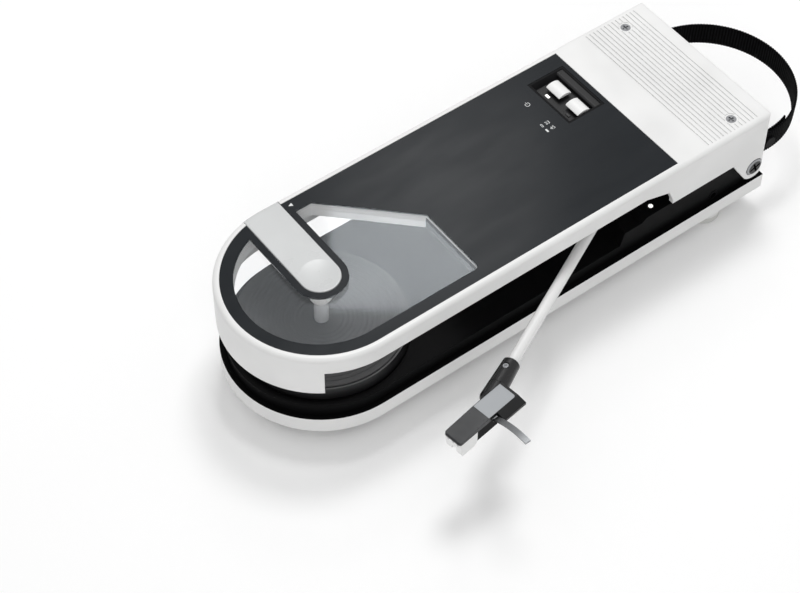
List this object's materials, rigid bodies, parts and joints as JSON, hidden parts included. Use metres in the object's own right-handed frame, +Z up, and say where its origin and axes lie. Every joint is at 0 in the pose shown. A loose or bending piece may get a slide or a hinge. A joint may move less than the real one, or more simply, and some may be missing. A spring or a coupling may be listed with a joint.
{
  "type": "portable turntable",
  "caption": "Portable turntable: slim clamshell player with a hinged lid, clear window, small belt-driven platter, swinging tonearm, push buttons and a carrying strap.",
  "frame": {"origin": "on the spindle's axis, at the top of the platter mat where a disc sits", "axes": "+Z up along the spindle, +Y back to the lid's hinge, +X to the side that the tonearm comes out of"},
  "size_m": [0.1759, 0.3416, 0.0701],
  "materials": {
    "white_shell": "satin",
    "foot_rubber": "matte",
    "screw_steel": "bright",
    "black_body": "satin",
    "bearing_brass": "turned",
    "motor_can": "plain",
    "belt_rubber": "matte",
    "battery_wrap": "satin",
    "board_green": "satin",
    "socket_steel": "plain",
    "lamp_white": "clear",
    "lamp_red": "clear",
    "rivet_black": "satin",
    "platter_dark": "satin",
    "mat_rubber": "matte",
    "spindle_chrome": "polished",
    "arm_dark": "satin",
    "arm_white": "painted satin",
    "collar_black": "satin",
    "head_grey": "satin",
    "plate_grey": "satin",
    "stylus_white": "satin",
    "lift_grey": "satin",
    "panel_gloss": "polished",
    "window_clear": "clear",
    "bar_white": "satin",
    "strap_webbing": "ribbed webbing"
  },
  "bodies": {
    "base": {"bottom_shell": "white_shell", "feet": "foot_rubber", "bottom_screws": "screw_steel", "chassis": "black_body", "platter_bearing": "bearing_brass", "motor": "motor_can", "drive_belt": "belt_rubber", "battery_pack": "battery_wrap", "main_board": "board_green", "line_out_socket": "black_body", "charge_socket": "socket_steel", "status_lamp": "lamp_white", "arm_post": "screw_steel", "hinge_screws": "screw_steel", "hinge_washers": "screw_steel", "strap_rivets": "rivet_black"},
    "platter": {"platter": "platter_dark", "platter_mat": "mat_rubber", "spindle": "spindle_chrome"},
    "pulley": {"motor_pulley": "bearing_brass"},
    "arm_base": {"arm_turret": "arm_dark", "lift_pin": "screw_steel"},
    "arm": {"arm_hub": "arm_dark", "arm_tube": "arm_white", "head_collar": "collar_black", "collar_screw": "screw_steel", "headshell": "head_grey", "head_plate": "plate_grey", "cartridge": "black_body", "stylus_holder": "stylus_white", "cantilever": "screw_steel", "finger_lift": "lift_grey"},
    "lid": {"lid_shell": "white_shell", "lid_inner_cover": "white_shell", "top_panel": "panel_gloss", "window": "window_clear", "button_well": "black_body", "power_lamp": "lamp_white", "speed_lamp": "lamp_red", "button_board": "board_green", "top_screws": "screw_steel", "lid_screws": "screw_steel", "clamp_bush": "platter_dark"},
    "clamp": {"record_clamp": "white_shell"},
    "bar": {"open_bar": "bar_white"},
    "power_key": {"power_button": "bar_white"},
    "speed_key": {"speed_button": "bar_white"},
    "strap_loop": {"strap": "strap_webbing"}
  },
  "joints": [
    {"name": "platter_spin", "type": "hinge", "parent": "base", "child": "platter", "pos_m": [0, 0, 0], "axis": [0, 0, -1], "continuous": true},
    {"name": "pulley_spin", "type": "hinge", "parent": "base", "child": "pulley", "pos_m": [0, 0.0352, 0], "axis": [0, 0, -1], "continuous": true},
    {"name": "lid_hinge", "type": "hinge", "parent": "base", "child": "lid", "pos_m": [0, 0.2325, -0.003], "axis": [-1, 0, 0], "range_deg": [0, 50]},
    {"name": "clamp_spin", "type": "hinge", "parent": "lid", "child": "clamp", "pos_m": [0, 0, 0.0218], "axis": [0, 0, -1], "continuous": true},
    {"name": "bar_slide", "type": "slide", "parent": "lid", "child": "bar", "axis": [-1, 0, 0], "range_m": [0, 0.004], "stiffness_N_per_m": 150},
    {"name": "power_press", "type": "slide", "parent": "lid", "child": "power_key", "axis": [0, 0, -1], "range_m": [0, 0.001], "stiffness_N_per_m": 400},
    {"name": "speed_press", "type": "slide", "parent": "lid", "child": "speed_key", "axis": [0, 0, -1], "range_m": [0, 0.001], "stiffness_N_per_m": 400},
    {"name": "arm_swing", "type": "hinge", "parent": "base", "child": "arm_base", "pos_m": [0.0236, 0.165, 0], "axis": [0, 0, 1], "range_deg": [-24, 22]},
    {"name": "arm_lift", "type": "hinge", "parent": "arm_base", "child": "arm", "pos_m": [0.0236, 0.165, 0.0076], "axis": [-0.8965, -0.4431, 0], "range_deg": [0, 8]},
    {"name": "strap_swing", "type": "hinge", "parent": "base", "child": "strap_loop", "pos_m": [0, 0.247, 0.0015], "axis": [-1, 0, 0], "range_deg": [-20, 35]}
  ],
  "couplings": [
    {"joint": "pulley_spin", "follows": "platter_spin", "ratio": 12.4},
    {"joint": "clamp_spin", "follows": "platter_spin", "ratio": 1}
  ]
}
